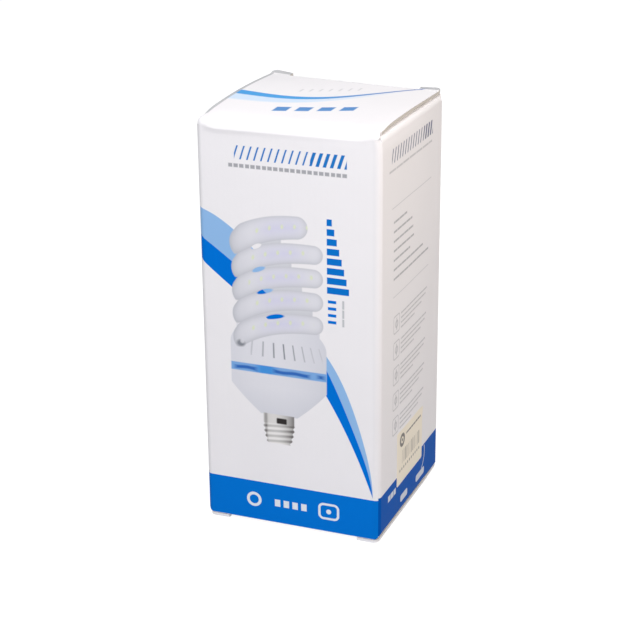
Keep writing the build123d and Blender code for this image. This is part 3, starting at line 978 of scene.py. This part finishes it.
def makeLidPrint(ink):
    recipe = newMaterial("printed_lid_board")
    x, t, sheet = recipe.panelPlace()
    back = t.scaled(90.0 / board["pitch"], 88.5)     # distance from the lid's back edge
    middle = fittedCurve(x, ink["stroke"], 4)
    wide, thin = ink["strokeHalf"]
    half = (x * ((thin - wide) / 80.0) + wide).most(0.4)
    fade = ((x - 34.0) / 45.0).held(0.0, 1.0)
    under = ((back - middle - half * 2.3).size() - half * 1.35).most(x - 72.0)
    colour = recipe.paint(inks["white"], ink["under"], under, 2.4, (1.0 - fade) * 0.9)
    stroke = ((back - middle).size() - half).most(x - 84.0)
    colour = recipe.paint(colour, recipe.layer(ink["strokeTint"], ink["strokeFar"], fade), stroke, 0.9)
    run = back + (x - 34.0) * 0.39 - 65.6
    block = ((x - 29.0) % 9.6 - 3.6).size() - 3.1
    blocks = block.most((run + 0.6).size() - 3.6).most(x.past(28.6, 67.2))
    colour = recipe.paint(colour, ink["blockTint"], blocks, 0.7, 0.95)
    run = back + (x - 29.0) * 0.58 - 31.0
    tick = ((x - 27.0) % 4.1 - 1.6).size() - 0.4
    ticks = tick.most(run.size() - 2.6).most(x.past(26.5, 56.0))
    colour = recipe.paint(colour, inks["greyPale"], ticks, 0.7, 0.55)

    # painted shade: a thin grey line along the lid's left and back cut edges, fading out towards the front
    # fold
    rim = (x - 2.7).least(back - 3.4)
    colour = recipe.paint(colour, ink["rim"], rim, 0.8, ((84.0 - back) * 0.3).held(0.0, 1.0) * 0.9)
    return finishPrinted(recipe, sheet, colour)


# The sticker on the right panel.
stickerBoard = {
    "width": 39.0,
    "height": 29.0,
    "radius": 1.0,
    "middle": (-1.2, 33.2),
    "lift": 0.12,
    "thick": 0.1,
    "cream": tint(247, 239, 222),
    "dark": tint(96, 92, 92),
}


# Rounded rectangle as a grid: each row is as wide as the outline is there, and it lies on the swollen panel.
def stickerGrid(label):
    halfW, halfH, radius = label["width"] / 2, label["height"] / 2, label["radius"]
    turn = np.sin(np.linspace(0, 1, 5) * math.pi / 2)
    inner = halfH - radius
    rows = np.concatenate([-halfH + radius * (1 - turn[::-1]), np.linspace(-inner, inner, 17)[1:-1],
                           inner + radius * turn])[:, None]
    width = halfW - radius + roundAt(np.maximum(np.abs(rows) - inner, 0.0), radius)
    across = np.linspace(-1, 1, 25) * width
    y, z = across + label["middle"][0], rows + label["middle"][1]
    y, z = np.broadcast_arrays(y, z)
    curl = 0.35 * ease(across + rows, 27.0, 33.0)
    x = board["half"] + label["lift"] + panelSwell(y, z, shape["sideBulge"]) + curl
    return makeGrid(x, y, z, 1.0, 0.0, 0.0, board["rightMiddle"] + y, z, 0)


def makeStickerPaper(label):
    recipe = newMaterial("cream_sticker_paper")
    x, t, sheet = recipe.panelPlace()
    x, t = x - 24.8, t - 158.3
    ring = (recipe.disc(x, t, 7.4, 5.8, 2.7).size() - 0.9).least(recipe.disc(x, t, 7.4, 5.8, 0.9))
    line = recipe.box(x, t, 13.0, 35.6, 4.0, 5.0).most(0.35 - (x % 3.4).size())
    bars = (x % 2.3 - 0.8).size() - ((x * 0.61).sine() * 0.22 + 0.42)
    bars = bars.most(recipe.box(x, t, 7.0, 34.6, 11.6, 18.8))
    row = recipe.far((x % 2.9) - 1.4, t - 21.6) - 0.8
    row = row.most(x.past(3.6, 35.0))
    colour = label["cream"]
    for form, share in [(ring.least(line), 0.9), (bars, 0.6), (row, 0.65)]:
        colour = recipe.paint(colour, label["dark"], form, 0.4, share)
    return recipe.paperSurface(colour, papers["sticker"])


frontFinish = makeFrontPrint(frontPrint)
sideFinish = makeSidePrint(sidePrint)
lidFinish = makeLidPrint(lidPrint)
plainFinish = newMaterial("plain_white_board").paperSurface(inks["white"][:3], papers["plain"])
insideFinish = newMaterial("uncoated_inside_board").paperSurface(inks["inside"][:3], papers["inside"])
edgeFinish = newMaterial("cut_board_edge").paperSurface(inks["edge"][:3], papers["edge"])
print("finishes mixed")

dust = dustGrid(dustFlap)
shellGrids = [wallGrid(), dust, mirrored(dust), atBottom(dust), atBottom(mirrored(dust))]
shell = thickSheet("carton_shell", shellGrids, board["thick"],
                   [frontFinish, sideFinish, insideFinish, edgeFinish], 2, 3, 1)
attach(shell, "box")
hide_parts("carton")
print("carton folded and glued")

topGrids, lowGrids = lidGrids(lidBoard, 0, 1.0), lidGrids(lidBoard, 0, 0.0)
topLid = thickSheet("top_lid_board", topGrids, board["thick"], [lidFinish, insideFinish, edgeFinish], 1, 2, 0)
bottomLid = thickSheet("bottom_lid_board", [atBottom(grid) for grid in lowGrids], board["thick"],
                       [plainFinish, insideFinish], 1, 0, 0)
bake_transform(topLid)
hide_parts("top_lid")
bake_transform(bottomLid)
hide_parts("bottom_lid")
print("lids folded")

sticker = thickSheet("side_sticker_paper", [stickerGrid(stickerBoard)], stickerBoard["thick"],
                     [makeStickerPaper(stickerBoard)], 0, 0, 0)
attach(sticker, "box")
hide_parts("side_sticker")
print("sticker laid on")

# Floor, backdrop and light.
studio = {
    "floorReach": 5.0,
    "floorColour": tint(196, 196, 198),
    "ambient": 0.46,
    "glowShare": 0.6,         # how much of what the camera sees of the floor is plain white
    "glowStrength": 1.55,
}
lamps = {
    "overhead": {"place": (0.1, -0.1, 1.3), "aim": (0, 0, 0.1), "size": 1.1, "power": 0.8,
                 "colour": (1, 1, 1)},
    "front": {"place": (0.12, -0.62, 0.85), "aim": (0, 0, 0.17), "size": 0.4, "power": 5.55,
              "colour": (0.99, 0.98, 1)},
    "right": {"place": (0.3, -0.08, 0.3), "aim": (0, 0, 0.15), "size": 0.12, "power": 0.32,
              "colour": (1, 0.84, 0.69)},
}


# Round floor: rings of equal steps, height zero everywhere.
def makeFloor(room):
    ring, turn = np.linspace(0.02, room["floorReach"], 12)[:, None], np.linspace(0, 2 * np.pi, 49)[:-1]
    points = np.stack([ring * np.cos(turn), ring * np.sin(turn), np.zeros((12, 48))], -1).reshape(-1, 3)
    index = np.arange(12 * 48).reshape(12, 48)
    beside = np.roll(index, -1, 1)
    faces = np.stack([index[:-1], index[1:], beside[1:], beside[:-1]], -1).reshape(-1, 4)
    mesh = bpy.data.meshes.new("floor")
    mesh.from_pydata(points, [], faces.tolist() + [index[0].tolist()])
    recipe = newMaterial("pale_floor")
    seen = recipe.node("ShaderNodeLightPath", output="Is Camera Ray")
    shiny = recipe.node("ShaderNodeLightPath", output="Is Glossy Ray")
    matt = recipe.node("ShaderNodeBsdfDiffuse", {}, {"Color": room["floorColour"], "Roughness": 0.0})
    glow = recipe.node("ShaderNodeEmission", {}, {"Color": (1, 1, 1, 1), "Strength": room["glowStrength"]})
    share = seen.most(shiny) * room["glowShare"]
    recipe.output(recipe.node("ShaderNodeMixShader", {}, {0: share, 1: matt, 2: glow}))
    mesh.materials.append(recipe.holder)
    floor = bpy.data.objects.new("floor", mesh)
    scene.collection.objects.link(floor)


def makeWorld(room):
    scene.world = bpy.data.worlds.new("soft_room")
    recipe = Recipe(scene.world)
    dim, bright = [recipe.node("ShaderNodeBackground", {}, {"Color": (1, 1, 1, 1), "Strength": strength})
                   for strength in (room["ambient"], 1.0)]
    seen = recipe.node("ShaderNodeLightPath", output="Is Camera Ray")
    mixed = recipe.node("ShaderNodeMixShader", {}, {0: seen, 1: dim, 2: bright})
    recipe.output(mixed, "ShaderNodeOutputWorld")


def makeLamp(name, lamp):
    light = bpy.data.lights.new(name, "AREA")
    light.shape, light.size, light.energy, light.color = "DISK", lamp["size"], lamp["power"], lamp["colour"]
    holder = bpy.data.objects.new(name, light)
    place = Vector(lamp["place"])
    turned = (Vector(lamp["aim"]) - place).to_track_quat("-Z", "Y").to_matrix().to_4x4()
    holder.matrix_world = Matrix.Translation(place) @ turned
    scene.collection.objects.link(holder)


makeFloor(studio)
makeWorld(studio)
for name, lamp in lamps.items():
    makeLamp(name, lamp)
scene.view_settings.view_transform = "Standard"
print("studio lit")
